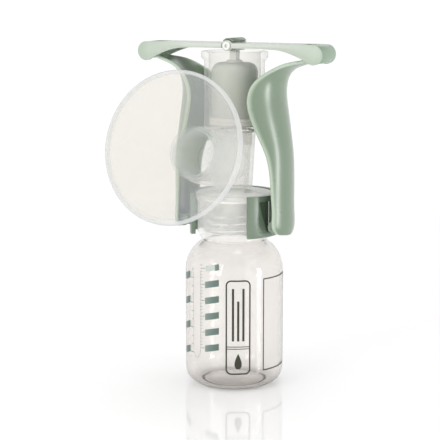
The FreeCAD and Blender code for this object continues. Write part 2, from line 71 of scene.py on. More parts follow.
BOTTLE_R = high("bottle")[0]
MOUTH_Z = high("bottle")[2]
BARREL_TOP = high("barrel")[2]
BARREL_R = 16.8
BARREL_BASE = high("barrel_gasket")[2]
COLLAR_BOTTOM = low("pump_body")[2]
ROOF_TOP = high("clip_band")[2]
COLLAR_R = 21.3
PISTON_LOW, PISTON_HIGH = low("piston")[2], high("piston")[2]
PISTON_R = high("piston")[0]
BASE_PIN = (low("base_pin_right") + high("base_pin_right")) / 2
LINK_PIN = (low("link_pin_right") + high("link_pin_right")) / 2
HINGE = (low("centre_pin") + high("centre_pin")) / 2
ARM_SIDE = high("arm_right")[1]
FLANGE_TILT = math.radians(13.1)
FLANGE_RISE = 15.8
FLANGE_ORIGIN_Z = ROOF_TOP + FLANGE_RISE

# ---------------------------------------------------------------- camera and light

CAMERA_TURN, CAMERA_PITCH = math.radians(28.351), math.radians(9.7)
CAMERA_BACK, CAMERA_LEFT, CAMERA_UP = 0.79214, 0.008068, 0.22805
LENS_MM, SENSOR_MM = 117.0, 36.0
MIDDLE = (0, 0, 0.11)
ROOM_STOPS = ((0.30, (1.0, 1.0, 1.0)), (0.60, (0.36, 0.36, 0.36)))
ROOM_STRENGTH = 1.03


def make_camera():
    """Camera 28.35 degrees round from the front, looking 9.7 degrees down."""
    ahead = Vector((-math.sin(CAMERA_TURN), math.cos(CAMERA_TURN), 0))
    right = Vector((math.cos(CAMERA_TURN), math.sin(CAMERA_TURN), 0))
    data = bpy.data.cameras.new("camera")
    data.sensor_width, data.lens = SENSOR_MM, LENS_MM
    data.clip_start, data.clip_end = 0.01, 20.0
    camera = bpy.data.objects.new("camera", data)
    bpy.context.scene.collection.objects.link(camera)
    camera.location = -ahead * CAMERA_BACK - right * CAMERA_LEFT + Vector((0, 0, CAMERA_UP))
    aim = ahead * math.cos(CAMERA_PITCH) - Vector((0, 0, math.sin(CAMERA_PITCH)))
    camera.rotation_mode = "QUATERNION"
    camera.rotation_quaternion = aim.to_track_quat("-Z", "Y")
    bpy.context.scene.camera = camera


def softbox(name, place, aim, width, height, watts, shade=(1, 1, 1)):
    """Rectangular soft light that faces a point."""
    data = bpy.data.lights.new(name, "AREA")
    data.shape, data.size, data.size_y = "RECTANGLE", width, height
    data.energy, data.color = watts, shade
    light = bpy.data.objects.new(name, data)
    bpy.context.scene.collection.objects.link(light)
    light.location = place
    light.rotation_mode = "QUATERNION"
    light.rotation_quaternion = (Vector(aim) - Vector(place)).to_track_quat("-Z", "Y")


def around(degrees, distance, height):
    """Point at an azimuth round the object, measured as the camera's is."""
    a = math.radians(degrees)
    return (distance * math.sin(a), -distance * math.cos(a), height)


def make_lights():
    """Narrow key from the right, broad front light and top light."""
    softbox("key", around(88, 0.75, 0.07), (0, 0, 0.10), 0.14, 0.36, 1.6)
    softbox("front", around(-15, 0.9, 0.30), MIDDLE, 0.45, 0.6, 3.0, (1.0, 0.99, 0.97))
    softbox("top", (0.0, 0.05, 0.9), MIDDLE, 0.6, 0.6, 2.4)


def make_room():
    """Room that is white at eye level and dim above."""
    world = bpy.data.worlds.new("room")
    world.use_nodes = True
    room = Nodes(world.node_tree)
    spot = room.node("ShaderNodeTexCoord").outputs["Generated"]
    up = room.node("ShaderNodeSeparateXYZ", {}, {0: spot}).outputs["Z"]
    shade = room.node("ShaderNodeValToRGB", {"stops": ROOM_STOPS}, {0: up}).outputs[0]
    backdrop = room.tree.nodes["Background"]
    room.tree.links.new(shade, backdrop.inputs["Color"])
    backdrop.inputs["Strength"].default_value = ROOM_STRENGTH
    scene = bpy.context.scene
    scene.world = world
    scene.view_settings.view_transform = "Standard"
    scene.cycles.transparent_max_bounces = 40


# ---------------------------------------------------------------- finishes


class Value:
    """A number on a shader socket; arithmetic on it adds Math nodes."""

    def __init__(self, finish, socket):
        self.finish, self.socket = finish, socket

    def math(self, operation, *others, flip=False):
        terms = [self, *others]
        if flip:
            terms.reverse()
        inputs = {i: term for i, term in enumerate(terms)}
        made = self.finish.node("ShaderNodeMath", {"operation": operation}, inputs)
        return Value(self.finish, made.outputs[0])

    def __add__(self, other):
        return self.math("ADD", other)

    __radd__ = __add__

    def __mul__(self, other):
        return self.math("MULTIPLY", other)

    __rmul__ = __mul__

    def __sub__(self, other):
        return self.math("SUBTRACT", other)

    def __rsub__(self, other):
        return self.math("SUBTRACT", other, flip=True)

    def __truediv__(self, other):
        return self.math("DIVIDE", other)

    def __pow__(self, other):
        return self.math("POWER", other)

    def clamped(self):
        return self.math("MAXIMUM", 0.0).math("MINIMUM", 1.0)

    def size(self):
        return self.math("ABSOLUTE")


class Nodes:
    """A node tree whose nodes are all added through one method."""

    def __init__(self, tree):
        self.tree = tree

    def node(self, kind, settings=None, inputs=None):
        """One node: settings first, then the values or links of its sockets."""
        made = self.tree.nodes.new(kind)
        for key, value in (settings or {}).items():
            if key == "stops":
                ramp = made.color_ramp
                while len(ramp.elements) < len(value):
                    ramp.elements.new(0.5)
                for element, (place, colour) in zip(ramp.elements, value):
                    element.position, element.color = place, (*colour, 1.0)
            else:
                setattr(made, key, value)
        for key, value in (inputs or {}).items():
            if isinstance(value, Value):
                value = value.socket
            if isinstance(value, bpy.types.NodeSocket):
                self.tree.links.new(value, made.inputs[key])
            elif isinstance(value, (tuple, list)) and len(value) == 3 and made.inputs[key].type == "RGBA":
                made.inputs[key].default_value = (*value, 1.0)
            else:
                made.inputs[key].default_value = value
        return made


class Finish(Nodes):
    """A material made of nodes."""

    def __init__(self, name):
        self.material = bpy.data.materials.new(name)
        self.material.use_nodes = True
        super().__init__(self.material.node_tree)
        self.tree.nodes.clear()
        self.out = self.node("ShaderNodeOutputMaterial")

    def place(self):
        """Object coordinates in metres."""
        return self.node("ShaderNodeTexCoord").outputs["Object"]

    def axes(self):
        """The three Object coordinates as values, in millimetres."""
        parts = self.node("ShaderNodeSeparateXYZ", {}, {0: self.place()}).outputs
        return [Value(self, parts[i]) * 1000.0 for i in range(3)]

    def noise(self, grain_mm, detail=3.0, rough=0.5):
        """Noise about 0.5 with a grain size in millimetres."""
        made = self.node("ShaderNodeTexNoise", {"noise_dimensions": "3D"}, {
            "Vector": self.place(), "Scale": 1.0 / (grain_mm * MM), "Detail": detail, "Roughness": rough})
        return Value(self, made.outputs["Fac"])

    def blend(self, share, first, second):
        """Colour between two colours."""
        made = self.node("ShaderNodeMix", {"data_type": "RGBA"}, {"Factor": share, 6: first, 7: second})
        return made.outputs[2]

    def bump(self, height, depth_mm):
        """Normal from a height value, with its depth in millimetres."""
        made = self.node("ShaderNodeBump", {}, {"Height": height, "Distance": depth_mm * MM, "Strength": 1.0})
        return made.outputs["Normal"]

    def slope(self):
        """How nearly edge on the surface is seen, from 0 to 1."""
        return Value(self, self.node("ShaderNodeLayerWeight", {}, {"Blend": 0.5}).outputs["Facing"])

    def mark(self, name):
        """Value between 0 and 1 stored on the mesh's points."""
        made = self.node("ShaderNodeAttribute", {"attribute_name": name})
        return Value(self, made.outputs["Fac"]).clamped()

    def mixed(self, share, first, second):
        """Mix of two shaders to the output."""
        both = self.node("ShaderNodeMixShader", {}, {0: share, 1: first.outputs[0], 2: second.outputs[0]})
        self.tree.links.new(both.outputs[0], self.out.inputs["Surface"])
        return self.material

    def surface(self, constants, varying):
        """Principled shader to the output; constants sit on its own sockets."""
        shader = self.node("ShaderNodeBsdfPrincipled", {}, {**constants, **varying})
        self.tree.links.new(shader.outputs[0], self.out.inputs["Surface"])
        return self.material


def soft_colour(finish, colour, grain_mm=14.0, swing=0.05):
    """Colour that drifts slightly in lightness over the surface."""
    drift = (finish.noise(grain_mm, 2.0) - 0.5) * 2.0 * swing + 0.5
    darker = tuple(c * 0.9 for c in colour)
    lighter = tuple(min(c * 1.1, 1.0) for c in colour)
    return finish.blend(drift, darker, lighter)


def moulded(name, colour, roughness, grain_depth=0.010, coat=0.0, glow=0.0):
    """Opaque moulded plastic: slow colour drift, satin grain, faint scuffs in the gloss."""
    f = Finish(name)
    scuff = f.noise(2.4, 6.0, 0.7)
    gloss = scuff * 0.12 + (roughness - 0.06)
    fine = f.noise(0.35, 2.0) * 0.6 + f.noise(3.0, 2.0) * 0.4
    return f.surface(
        {"IOR": 1.49, "Specular IOR Level": 0.5, "Coat Roughness": 0.2, "Coat Weight": coat,
         "Subsurface Weight": glow, "Subsurface Radius": (0.4, 0.5, 0.4), "Subsurface Scale": 0.002},
        {"Base Color": soft_colour(f, colour), "Roughness": gloss, "Normal": f.bump(fine, grain_depth)})


def sage_shell(name, colour, rim_light_colour):
    """Handle plastic with painted light on its thin edge: a lighter rim colour than the grip face, standing
    for light let through the thin wall.
    """
    f = Finish(name)
    # Painted light: the thin edge is painted the lighter rim colour.
    base = f.blend(f.mark("edge"), soft_colour(f, colour), rim_light_colour)
    gloss = f.noise(12.0, 2.0) * 0.10 + 0.24
    return f.surface(
        {"IOR": 1.49, "Coat Roughness": 0.22, "Coat Weight": 0.6},
        {"Base Color": base, "Roughness": gloss, "Normal": f.bump(f.noise(14.0, 1.0), 0.02)})


def arm_plastic(name):
    """Pale sage arm: painted light makes it a little whiter towards the centre hinge, and painted shade makes
    it darker round the barrel of its end.
    """
    f = Finish(name)
    x, y, _ = f.axes()
    # Painted light: the arm is lighter towards the centre hinge and darker towards its ends.
    out = (x.size() / 56.0).clamped() ** 1.5
    base = f.blend(out, (0.56, 0.59, 0.54), (0.42, 0.50, 0.41))
    # Painted shade: the barrel of the arm's end, which faces away from the light, is painted darker.
    barrel = (ARM_SIDE - 0.3 - y.size()).clamped() * ((x.size() - LINK_PIN[0] - 1.5) / 2.0).clamped()
    base = f.blend(barrel, base, (0.24, 0.33, 0.24))
    drift = (f.noise(9.0, 2.0) - 0.5) * 0.16 + 0.08
    base = f.blend(drift.clamped(), base, (0.42, 0.49, 0.42))
    gloss = f.noise(2.0, 6.0, 0.7) * 0.12 + 0.24
    fine = f.noise(0.35, 2.0) * 0.5 + f.noise(3.0, 2.0) * 0.5
    return f.surface({"IOR": 1.49}, {"Base Color": base, "Roughness": gloss, "Normal": f.bump(fine, 0.008)})


def clear(name, roughness, depth_tint, density, ripple, ripple_mm=9.0):
    """Clear moulded plastic: light passes through slow ripples, and long ways through the wall darken it;
    where the wall is seen edge on, a dark grey is painted into its colour as painted shade.
    """
    f = Finish(name)
    cloud = f.noise(6.0, 4.0, 0.6)
    gloss = cloud * 0.08 + (roughness - 0.04)
    base = f.blend(cloud, (0.970, 0.956, 0.942), (0.945, 0.930, 0.915))
    # Painted shade: the colour turns dark grey where the wall is seen edge on.
    base = f.blend((f.slope() ** 7.0 * 0.8).clamped(), base, (0.34, 0.33, 0.31))
    inside = f.node("ShaderNodeVolumeAbsorption", {}, {"Color": depth_tint, "Density": density})
    f.tree.links.new(inside.outputs[0], f.out.inputs["Volume"])
    return f.surface(
        {"IOR": 1.40, "Transmission Weight": 1.0},
        {"Base Color": base, "Roughness": gloss, "Normal": f.bump(f.noise(ripple_mm, 1.0), ripple)})


# Grey painted into milky walls where they are seen edge on, as painted shade.
EDGE_ON_SHADE_GREY = (0.42, 0.44, 0.45)
BEAD_WHITE = (0.90, 0.91, 0.91)
# Darker grey-green painted into the funnel's tunnel as painted shade.
TUNNEL_SHADE_COLOUR = (0.64, 0.72, 0.68)
TRANSLUCENT_SHARE = 0.42
TUNNEL_COVER = 0.20
COLLAR_COVER = 0.07
COLLAR_GLOW = 0.42


def milky(name, haze, through, share, edge_share, roughness, ripple, funnel=False, collar=False):
    """Milky moulded plastic: a share of haze over a tinted view through the wall, thicker seen edge on, where
    a grey is painted into the colour as painted shade.

    The funnel's rolled bead is whiter than its cone, and its tunnel is hazier and painted a darker grey-green
    as painted shade deep in the tunnel. The collar of the body is hazier than its tube, and a faint emission
    stands for the light scattered about inside it.
    """
    f = Finish(name)
    cloud = f.noise(7.0, 4.0, 0.6)
    darker, lighter = tuple(c * 0.95 for c in haze), tuple(min(c * 1.04, 1.0) for c in haze)
    base = f.blend(cloud, darker, lighter)
    slope = f.slope()
    # Painted shade: share of grey painted in where the wall is seen edge on.
    outline = slope ** 11.0 * 0.9
    cover = (cloud - 0.5) * 0.06 + share + slope ** 3.0 * edge_share
    scattered = {}
    if collar:
        _, _, z = f.axes()
        inside = ((ROOF_TOP + 2.6 - z) / 2.0).clamped()
        cover = cover + inside * COLLAR_COVER
        scattered = {
            "Emission Color": f.blend(inside, (0.0, 0.0, 0.0), haze), "Emission Strength": COLLAR_GLOW}
    if funnel:
        edge, tunnel = f.mark("edge"), f.mark("tunnel")
        base = f.blend(edge, base, BEAD_WHITE)
        # Painted shade: the tunnel is painted a darker grey-green.
        base = f.blend(tunnel, base, TUNNEL_SHADE_COLOUR)
        # Painted shade: the funnel's bead gets more painted grey where it is seen edge on.
        outline = outline + slope ** 2.5 * edge * 0.9
        cover = cover + edge * 0.42 + tunnel * TUNNEL_COVER
    base = f.blend(outline.clamped(), base, EDGE_ON_SHADE_GREY)
    shader = f.node("ShaderNodeBsdfPrincipled", {}, {
        "IOR": 1.5, "Base Color": base, "Roughness": cloud * 0.1 + (roughness - 0.05),
        "Normal": f.bump(f.noise(8.0, 1.0), ripple), **scattered})
    glow = f.node("ShaderNodeBsdfTranslucent", {}, {"Color": haze})
    wall = f.node("ShaderNodeMixShader", {}, {
        0: TRANSLUCENT_SHARE, 1: shader.outputs[0], 2: glow.outputs[0]})
    window = f.node("ShaderNodeBsdfTransparent", {}, {"Color": through})
    return f.mixed(cover.clamped(), window, wall)


def ink(name, colour, fade=0.0):
    """Printed ink: flat colour with tiny pinholes, thinner towards one side where it fades."""
    f = Finish(name)
    speck = f.noise(0.5, 3.0)
    lighter = tuple(min(1.0, c * 1.35 + 0.02) for c in colour)
    base = f.blend((speck - 0.35).clamped() * 0.6, colour, lighter)
    if fade:
        base = f.blend(f.mark("edge") ** 1.6 * fade, base, (0.50, 0.56, 0.53))
    return f.surface({"IOR": 1.45}, {"Base Color": base, "Roughness": speck * 0.1 + 0.42})


FLOOR_R, FADE_START, FADE_LENGTH = 720, 260.0, 420.0


def floor_finish():
    """Pale floor with a faint gloss that fades into the room."""
    f = Finish("pale_floor")
    x, y, _ = f.axes()
    away = (((x * x + y * y).math("SQRT") - FADE_START) / FADE_LENGTH).clamped()
    shader = f.node("ShaderNodeBsdfPrincipled", {}, {
        "IOR": 1.9, "Base Color": (0.90, 0.90, 0.90), "Roughness": f.noise(40.0, 2.0) * 0.03 + 0.05,
        "Emission Color": (1, 1, 1), "Emission Strength": 0.18})
    return f.mixed(away, shader, f.node("ShaderNodeBsdfTransparent"))


def wire_finish():
    """Drawn steel wire."""
    f = Finish("drawn_wire")
    lines = f.noise(0.3, 4.0)
    return f.surface({"Metallic": 1.0}, {
        "Base Color": f.blend(lines, (0.52, 0.52, 0.53), (0.66, 0.66, 0.66)), "Roughness": lines * 0.2 + 0.2})


# ---------------------------------------------------------------- surfaces worked out with numpy


def make_piece(name, points, faces, finish, body, instead=(), smooth=True):
    """Mesh object from points in millimetres, riding on a body."""
    mesh = bpy.data.meshes.new(name)
    mesh.from_pydata((np.asarray(points, float) * MM).tolist(), [], [list(map(int, f)) for f in faces])
    mesh.validate()
    mesh.polygons.foreach_set("use_smooth", np.full(len(mesh.polygons), smooth))
    piece = bpy.data.objects.new(name, mesh)
    bpy.context.scene.collection.objects.link(piece)
    mesh.materials.append(finish)
    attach(piece, body)
    if instead:
        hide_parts(*instead)
    return piece


def grid_faces(rows, columns, loop_rows=False, loop_columns=False, start=0):
    """Four-sided faces of a rows x columns grid, joined round either way when asked."""
    r = np.arange(rows if loop_rows else rows - 1)
    c = np.arange(columns if loop_columns else columns - 1)
    r, c = [a.ravel() for a in np.meshgrid(r, c, indexing="ij")]
    r1, c1 = (r + 1) % rows, (c + 1) % columns
    return np.stack([r * columns + c, r * columns + c1, r1 * columns + c1, r1 * columns + c], -1) + start


def tube_faces(rows, columns):
    """Faces of a tube of closed loops, with a flat cap at each end."""
    faces = grid_faces(rows, columns, loop_columns=True).tolist()
    last = rows * columns - 1
    return faces + [list(range(columns)), list(range(last, last - columns, -1))]


def rounded(corners, steps=6):
    """Line through (a, b, radius) corners, each corner replaced by a circular arc of its radius."""
    line = []
    count = len(corners)
    for i, (a, b, radius) in enumerate(corners):
        here = np.array([a, b], float)
        if radius <= 0:
            line.append(here)
            continue
        u = np.array(corners[i - 1][:2], float) - here
        v = np.array(corners[(i + 1) % count][:2], float) - here
        u, v = u / np.linalg.norm(u), v / np.linalg.norm(v)
        half = math.acos(np.clip(u @ v, -1, 1)) / 2
        start, end = here + u * radius / math.tan(half), here + v * radius / math.tan(half)
        centre = here + (u + v) / np.linalg.norm(u + v) * radius / math.sin(half)
        p, q = start - centre, end - centre
        wide = math.acos(np.clip(p @ q / radius**2, -1, 1))
        t = np.linspace(0, 1, steps + 1)[:, None]
        line.extend(centre + (np.sin((1 - t) * wide) * p + np.sin(t * wide) * q) / math.sin(wide))
    return np.array(line)


def denser(line, longest, closed=True):
    """The same line with points added so that no step is longer than a length."""
    ends = np.roll(line, -1, axis=0) if closed else line[1:]
    starts = line if closed else line[:-1]
    out = []
    for a, b in zip(starts, ends):
        steps = max(1, math.ceil(np.linalg.norm(b - a) / longest))
        out.extend(a + (b - a) * (np.arange(steps) / steps)[:, None])
    if not closed:
        out.append(line[-1])
    return np.array(out)


def turned(name, profile, finish, body, instead=(), columns=128, swell=None, tilt=False, marks=None):
    """Solid of revolution: a closed (radius, height) profile carried round the axis.

    A point is (r cos t, r sin t, z), where swell(r, z, t) may add to r. With tilt, the axis leans on to
    the flange's own axis.
    """
    t = np.linspace(0, TAU, columns, endpoint=False)
    r, z = np.repeat(profile[:, 0:1], columns, 1), np.repeat(profile[:, 1:2], columns, 1)
    if swell is not None:
        r = r + swell(r, z, t[None, :])
    points = np.stack([r * np.cos(t), r * np.sin(t), z], -1).reshape(-1, 3)
    faces = grid_faces(len(profile), columns, loop_rows=True, loop_columns=True)
    if tilt:
        points = on_flange_axis(points)
    piece = make_piece(name, points, faces, finish, body, instead)
    for word, near in (marks or {}).items():
        mark_points(piece, word, np.repeat(near, columns))
    weld(piece)


def mark_points(piece, name, share):
    """Store a value between 0 and 1 on each point, for the finish to read."""
    mark = piece.data.attributes.new(name, "FLOAT", "POINT")
    mark.data.foreach_set("value", np.asarray(share, float))


def on_flange_axis(points):
    """Turn about X so that +Z lies on the tilted flange axis, then lift on to it."""
    lean = math.pi / 2 - FLANGE_TILT
    x, y, z = points.T
    return np.stack([x, y * math.cos(lean) - z * math.sin(lean),
                     y * math.sin(lean) + z * math.cos(lean) + FLANGE_ORIGIN_Z], -1)


WELD_GAP = 1e-6


def weld(piece):
    """Close seams and poles, drop flat faces and point the faces outwards."""
    work = bmesh.new()
    work.from_mesh(piece.data)
    bmesh.ops.remove_doubles(work, verts=work.verts, dist=WELD_GAP)
    bmesh.ops.dissolve_degenerate(work, edges=work.edges, dist=WELD_GAP)
    bmesh.ops.recalc_face_normals(work, faces=work.faces)
    work.to_mesh(piece.data)
    work.free()
    piece.data.update()


def crease(piece, degrees=32.0):
    """Keep edges sharper than an angle crisp in a smooth-shaded mesh."""
    work = bmesh.new()
    work.from_mesh(piece.data)
    for edge in work.edges:
        edge.smooth = len(edge.link_faces) == 2 and edge.calc_face_angle(0) < math.radians(degrees)
    work.to_mesh(piece.data)
    work.free()


def merged_copy(node, finish, body, bevel_mm=0.0):
    """Copy of a CAD node's mesh with its loose triangles merged, smooth-shaded, edges softened."""
    mesh = bpy.data.objects[node].data.copy()
    piece = bpy.data.objects.new(node + "_skin", mesh)
    bpy.context.scene.collection.objects.link(piece)
    mesh.materials.clear()
    mesh.materials.append(finish)
    if "custom_normal" in mesh.attributes:
        mesh.attributes.remove(mesh.attributes["custom_normal"])
    work = bmesh.new()
    work.from_mesh(mesh)
    bmesh.ops.remove_doubles(work, verts=work.verts, dist=2e-6)
    if bevel_mm:
        bmesh.ops.dissolve_limit(work, angle_limit=math.radians(1.0), verts=work.verts, edges=work.edges)
        sharp = [e for e in work.edges if len(e.link_faces) == 2 and e.calc_face_angle(0) > math.radians(40)]
        bmesh.ops.bevel(work, geom=sharp, offset=bevel_mm * MM, segments=2, profile=0.5, affect="EDGES",
                        clamp_overlap=True)
        bmesh.ops.triangulate(work, faces=[f for f in work.faces if len(f.verts) > 4])
    for face in work.faces:
        face.smooth = True
    work.to_mesh(mesh)
    work.free()
    crease(piece)
    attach(piece, body)
    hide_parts(node)


# ---------------------------------------------------------------- bottle

WALL = 1.4
FOOT_R = 9.0
NECK_R, NECK_BORE_R = 16.6, 15.2
LIP_R = 0.7
ARCH_R, ARCH_Z = 114.2, -112.7  # Sphere that the push-up in the base is a cap of.
THREAD_PITCH = 4.0
THREAD_RISE, THREAD_END, THREAD_DEPTH = 4.5, 17.5, 0.95
NECK_BASE = COLLAR_BOTTOM - 0.9
SHOULDER = (BOTTLE_R - 20.0, 64.7, 20.0)  # Centre and radius of the shoulder's arc.


def thread_lift(z, t, start, end, depth):
    """Height of a helical ridge: a smooth bump of half a pitch that climbs one pitch a turn."""
    lead = ((z - start) / THREAD_PITCH - t / TAU) % 1.0
    ridge = np.clip(1.35 * np.cos((lead - 0.5) * TAU), 0, 1)
    fade = np.clip((z - start) / 1.5, 0, 1) * np.clip((end - z) / 1.5, 0, 1)
    return depth * ridge * fade


def arc_points(centre, radius, first, last, count):
    """Points on a circle between two angles in degrees."""
    a = np.radians(np.linspace(first, last, count))
    return np.stack([centre[0] + radius * np.cos(a), centre[1] + radius * np.sin(a)], -1)


def bottle_profile():
    """Outer wall from the push-up in the base to the mouth, then the inner wall back down to the floor."""
    cx, cz, cr = SHOULDER
    foot = (BOTTLE_R - FOOT_R, FOOT_R)
    end_angle = math.degrees(math.acos((NECK_R - cx) / cr))
    outer = [arc_points((0, ARCH_Z), ARCH_R, 90, 80.7, 10),
             arc_points(foot, FOOT_R, -97, 0, 16),
             np.array([[BOTTLE_R, z] for z in np.linspace(12, 60, 7)]),
             arc_points((cx, cz), cr, 0, end_angle, 22)]
    neck = np.array([[NECK_R, z] for z in np.linspace(NECK_BASE + 1.0, MOUTH_Z - LIP_R, 96)])
    lip = arc_points((NECK_R - LIP_R, MOUTH_Z - LIP_R), LIP_R, 0, 180, 9)
    end_inner = math.degrees(math.acos((NECK_BORE_R - cx) / (cr - WALL)))
    inner = [np.array([[NECK_BORE_R, z] for z in np.linspace(MOUTH_Z - 2, NECK_BASE, 8)]),
             arc_points((cx, cz), cr - WALL, end_inner, 0, 18),
             np.array([[BOTTLE_R - WALL, z] for z in np.linspace(60, 12, 7)]),
             arc_points(foot, FOOT_R - WALL, 0, -90, 14),
             arc_points((0, ARCH_Z + WALL), ARCH_R, 81.0, 90, 8)]
    return np.maximum(np.concatenate([*outer, neck, lip, *inner]), 0)


def bottle_swell(r, z, t):
    """Helical thread on the outside of the neck."""
    on_neck = (np.abs(r - NECK_R) < 0.02) & (z > NECK_BASE + 0.9)
    return on_neck * thread_lift(z, t, NECK_BASE + THREAD_RISE, NECK_BASE + THREAD_END, THREAD_DEPTH)


INK_LOW, INK_HIGH = BOTTLE_R + 0.01, BOTTLE_R + 0.05
INK_CORNERS = ((INK_LOW, 0), (INK_HIGH, 0), (INK_HIGH, 1), (INK_LOW, 1))
DEGREE = BOTTLE_R * math.pi / 180  # One degree round the bottle wall, in millimetres.


def bar_faces(n, closed=False):
    """Faces of a four-sided bar of n steps, with end caps unless it closes on itself."""
    faces = grid_faces(4, n, loop_rows=True, loop_columns=closed).tolist()
    if not closed:
        faces += [[3 * n, 2 * n, n, 0], [n - 1, 2 * n - 1, 3 * n - 1, 4 * n - 1]]
    return faces


def print_patch(corners_deg, z_low, z_high, slant=0.0, columns=10):
    """Thin slab on the bottle wall between two angles; its height tips along the wall by slant."""
    a = np.radians(np.linspace(corners_deg[0], corners_deg[1], columns))
    tip = slant * (np.linspace(0, 1, columns) - 1)
    rows = [np.stack([radius * np.cos(a), radius * np.sin(a), (z_low, z_high)[top] + tip], -1)
            for radius, top in INK_CORNERS]
    return np.concatenate(rows), bar_faces(columns)


def print_line(path_deg_z, width, closed=False):
    """Line of ink along (degrees, height) points on the bottle wall, squared across its direction."""
    flat = denser(np.array(path_deg_z, float) * [DEGREE, 1], 1.5, closed)
    ahead = np.roll(flat, -1, 0) - np.roll(flat, 1, 0)
    if not closed:
        ahead[0], ahead[-1] = flat[1] - flat[0], flat[-1] - flat[-2]
    ahead /= np.linalg.norm(ahead, axis=1)[:, None]
    side = np.stack([-ahead[:, 1], ahead[:, 0]], -1) * width / 2
    rows = []
    for radius, far in INK_CORNERS:
        spot = flat + side * (2 * far - 1)
        a = spot[:, 0] / BOTTLE_R
        rows.append(np.stack([radius * np.cos(a), radius * np.sin(a), spot[:, 1]], -1))
    return np.concatenate(rows), bar_faces(len(flat), closed)


def gather(parts):
    """Join (points, faces) pairs into one."""
    points, faces, start = [], [], 0
    for spots, quads in parts:
        points.append(spots)
        faces += [[start + i for i in quad] for quad in quads]
        start += len(spots)
    return np.concatenate(points), faces


def rounded_box(left, right, bottom, top, radius):
    """Outline of a rounded box on the wall, in degrees and millimetres."""
    line = rounded([(left * DEGREE, bottom, radius), (right * DEGREE, bottom, radius),
                    (right * DEGREE, top, radius), (left * DEGREE, top, radius)])
    return line / [DEGREE, 1]


def divided_box(left, right, bottom, middle, top, radius):
    """Outline with rounded outer corners and two lines across it at the middle."""
    lines = [print_line(rounded_box(left, right, bottom, top, radius), 0.85, True)]
    for level in (middle - 0.6, middle + 0.6):
        lines.append(print_line([(left + 0.6, level), (right - 0.6, level)], 0.45))
    return lines


def plain_drop(centre, low_z, high_z, count=28):
    """Flat drop shape on the wall: a circle whose top is drawn out to a point."""
    t = np.linspace(0, TAU, count, endpoint=False)
    half = (high_z - low_z) / 2
    across = half * 0.62 * np.sin(t) * np.sin(t / 2) ** 1.3
    z = (low_z + high_z) / 2 + half * np.cos(t)
    a = math.radians(centre) + across / BOTTLE_R
    rows = [np.stack([r * np.cos(a), r * np.sin(a), z], -1) for r in (INK_LOW, INK_HIGH)]
    faces = grid_faces(2, count, loop_columns=True).tolist()
    return np.concatenate(rows), faces + [list(range(count)), list(range(2 * count - 1, count - 1, -1))]


RIGHT_STEP, LEFT_STEP = 9.02, 14.15  # Heights between the blocks of the two scales.
BLOCK_HIGH = 3.7


def printed_marks():
    """Volume scales, the strip between them, a plain divided box and a write-on panel."""
    levels = [24.1 + RIGHT_STEP * step for step in range(5)]
    blocks = [print_patch((-98, -80), level, level + BLOCK_HIGH, 1.9) for level in levels]
    make_print("scale_blocks_right", blocks, finishes["teal_ink"])
    make_print("scale_block_top", [print_patch((-85, -80), 69.2, 72.7, 0.5)], finishes["teal_ink"])
    make_print("scale_block_faint", [print_patch((-97, -85), 69.0, 72.2, 1.3)], finishes["faint_ink"])
    levels = [20.0 + LEFT_STEP * step for step in range(4)]
    blocks = [print_patch((-142, -125), level, level + BLOCK_HIGH + 0.1, 2.6) for level in levels]
    make_print("scale_blocks_left", blocks, finishes["teal_ink"])
    ticks = []
    for step in range(27):
        level = 24.4 + RIGHT_STEP / 5 * step
        reach = -98.2 if step % 5 == 0 else -102.0
        ticks.append(print_line([(-104.8, level - 0.4), (reach, level)], 0.30))
    for step in range(11):
        level = 20.6 + LEFT_STEP / 3 * step
        reach = -123.5 if step % 3 == 0 else -120.6
        ticks.append(print_line([(-117.4, level), (reach, level - 0.4)], 0.38))
    make_print("scale_ticks", ticks, finishes["grey_ink"])
    strip = [(-104.8, 67.6), (-104.8, 23.5), (-105.6, 20.8), (-108, 18.6), (-111, 17.9),
             (-114, 18.6), (-116.4, 20.8), (-117.2, 23.5), (-117.2, 66.0)]
    make_print("scale_strip", [print_line(strip, 0.42)], finishes["pale_ink"])
    boxes = divided_box(-71.3, -44.0, 10.9, 25.7, 63.4, 2.6)
    boxes.append(print_line(rounded_box(-26.2, 24.5, 11.9, 63.6, 0.4), 0.7, True))
    make_print("outline_boxes", boxes, finishes["olive_ink"])
    marks = [plain_drop(-57.6, 13.6, 22.6)]
    for place, top in ((-63.6, 59.0), (-57.6, 52.0), (-51.6, 59.0)):
        marks.append(print_patch((place - 1.3, place + 1.3), 29.5, top, columns=4))
    make_print("plain_marks", marks, finishes["olive_ink"])


def make_print(name, parts, finish):
    """One printed piece on the bottle."""
    points, faces = gather(parts)
    piece = make_piece(name, points, faces, finish, "stand", smooth=False)
    turn = np.degrees(np.arctan2(points[:, 1], points[:, 0]))
    mark_points(piece, "edge", (turn.max() - turn) / max(np.ptp(turn), 1e-6))
    weld(piece)


# ---------------------------------------------------------------- funnel, barrel, piston


def make_flange(finish):
    """Funnel and neck turned about the flange axis, with a rolled bead round the rim."""
    profile = rounded([
        (11.4, 22.2, 0.3), (13.3, 22.2, 0.5), (13.3, 47.6, 6), (38.3, 69.2, 0.6), (40.4, 69.2, 1.0),
        (40.4, 72.15, 1.4), (37.6, 72.15, 1.2), (36.8, 70.4, 0.6), (11.4, 48.6, 7)], 8)
    line = denser(profile, 3.0)
    bead = (line[:, 1] > 69.1) * np.clip((line[:, 0] - 38.2) / 0.6, 0, 1)
    neck = (line[:, 0] < 14.5) * np.clip((50.0 - line[:, 1]) / 3.0, 0, 1)
    marks = {"edge": bead, "tunnel": neck}
    turned("breast_flange_shell", line, finish, "stand", ("breast_flange",), 160, tilt=True,
           marks=marks)


